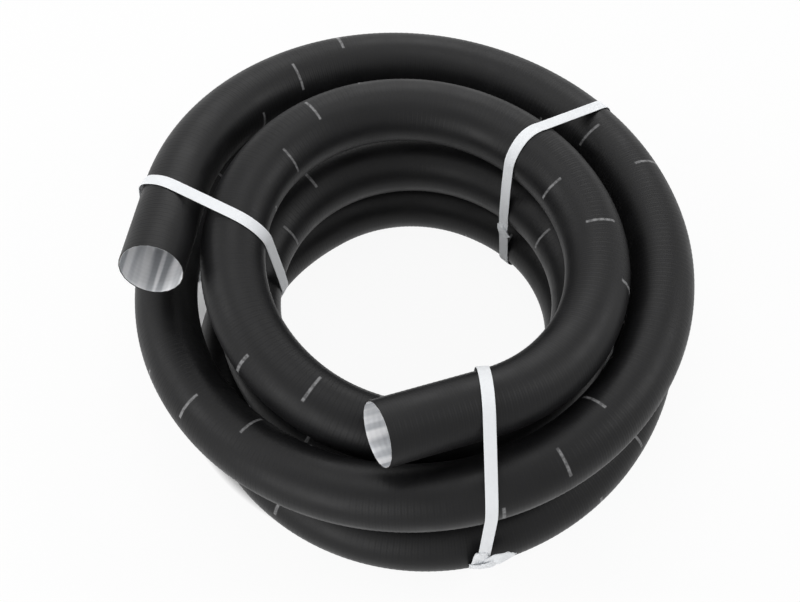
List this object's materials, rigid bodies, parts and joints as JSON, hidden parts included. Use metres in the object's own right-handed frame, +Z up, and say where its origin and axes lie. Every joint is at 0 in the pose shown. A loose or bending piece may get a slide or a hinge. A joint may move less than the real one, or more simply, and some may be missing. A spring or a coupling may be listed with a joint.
{
  "type": "flexible air duct",
  "caption": "Flexible heater air duct in a strapped coil, finely ribbed black outside with a foil lining, both ends open.",
  "frame": {"origin": "on the floor, under the middle of the coil's bounding box", "axes": "+Z up out of the coil, -Y towards the hose's open inner end at the front, -X towards its open outer end"},
  "size_m": [0.564, 0.5866, 0.2557],
  "materials": {
    "duct_jacket": "satin",
    "duct_liner": "bright foil",
    "strap_tape": "matt"
  },
  "bodies": {
    "root": {"duct_jacket": "duct_jacket", "duct_liner": "duct_liner", "strap_left": "strap_tape", "strap_left_knot": "strap_tape", "strap_back_right": "strap_tape", "strap_back_right_knot": "strap_tape", "strap_front": "strap_tape", "strap_front_knot": "strap_tape"}
  },
  "joints": []
}
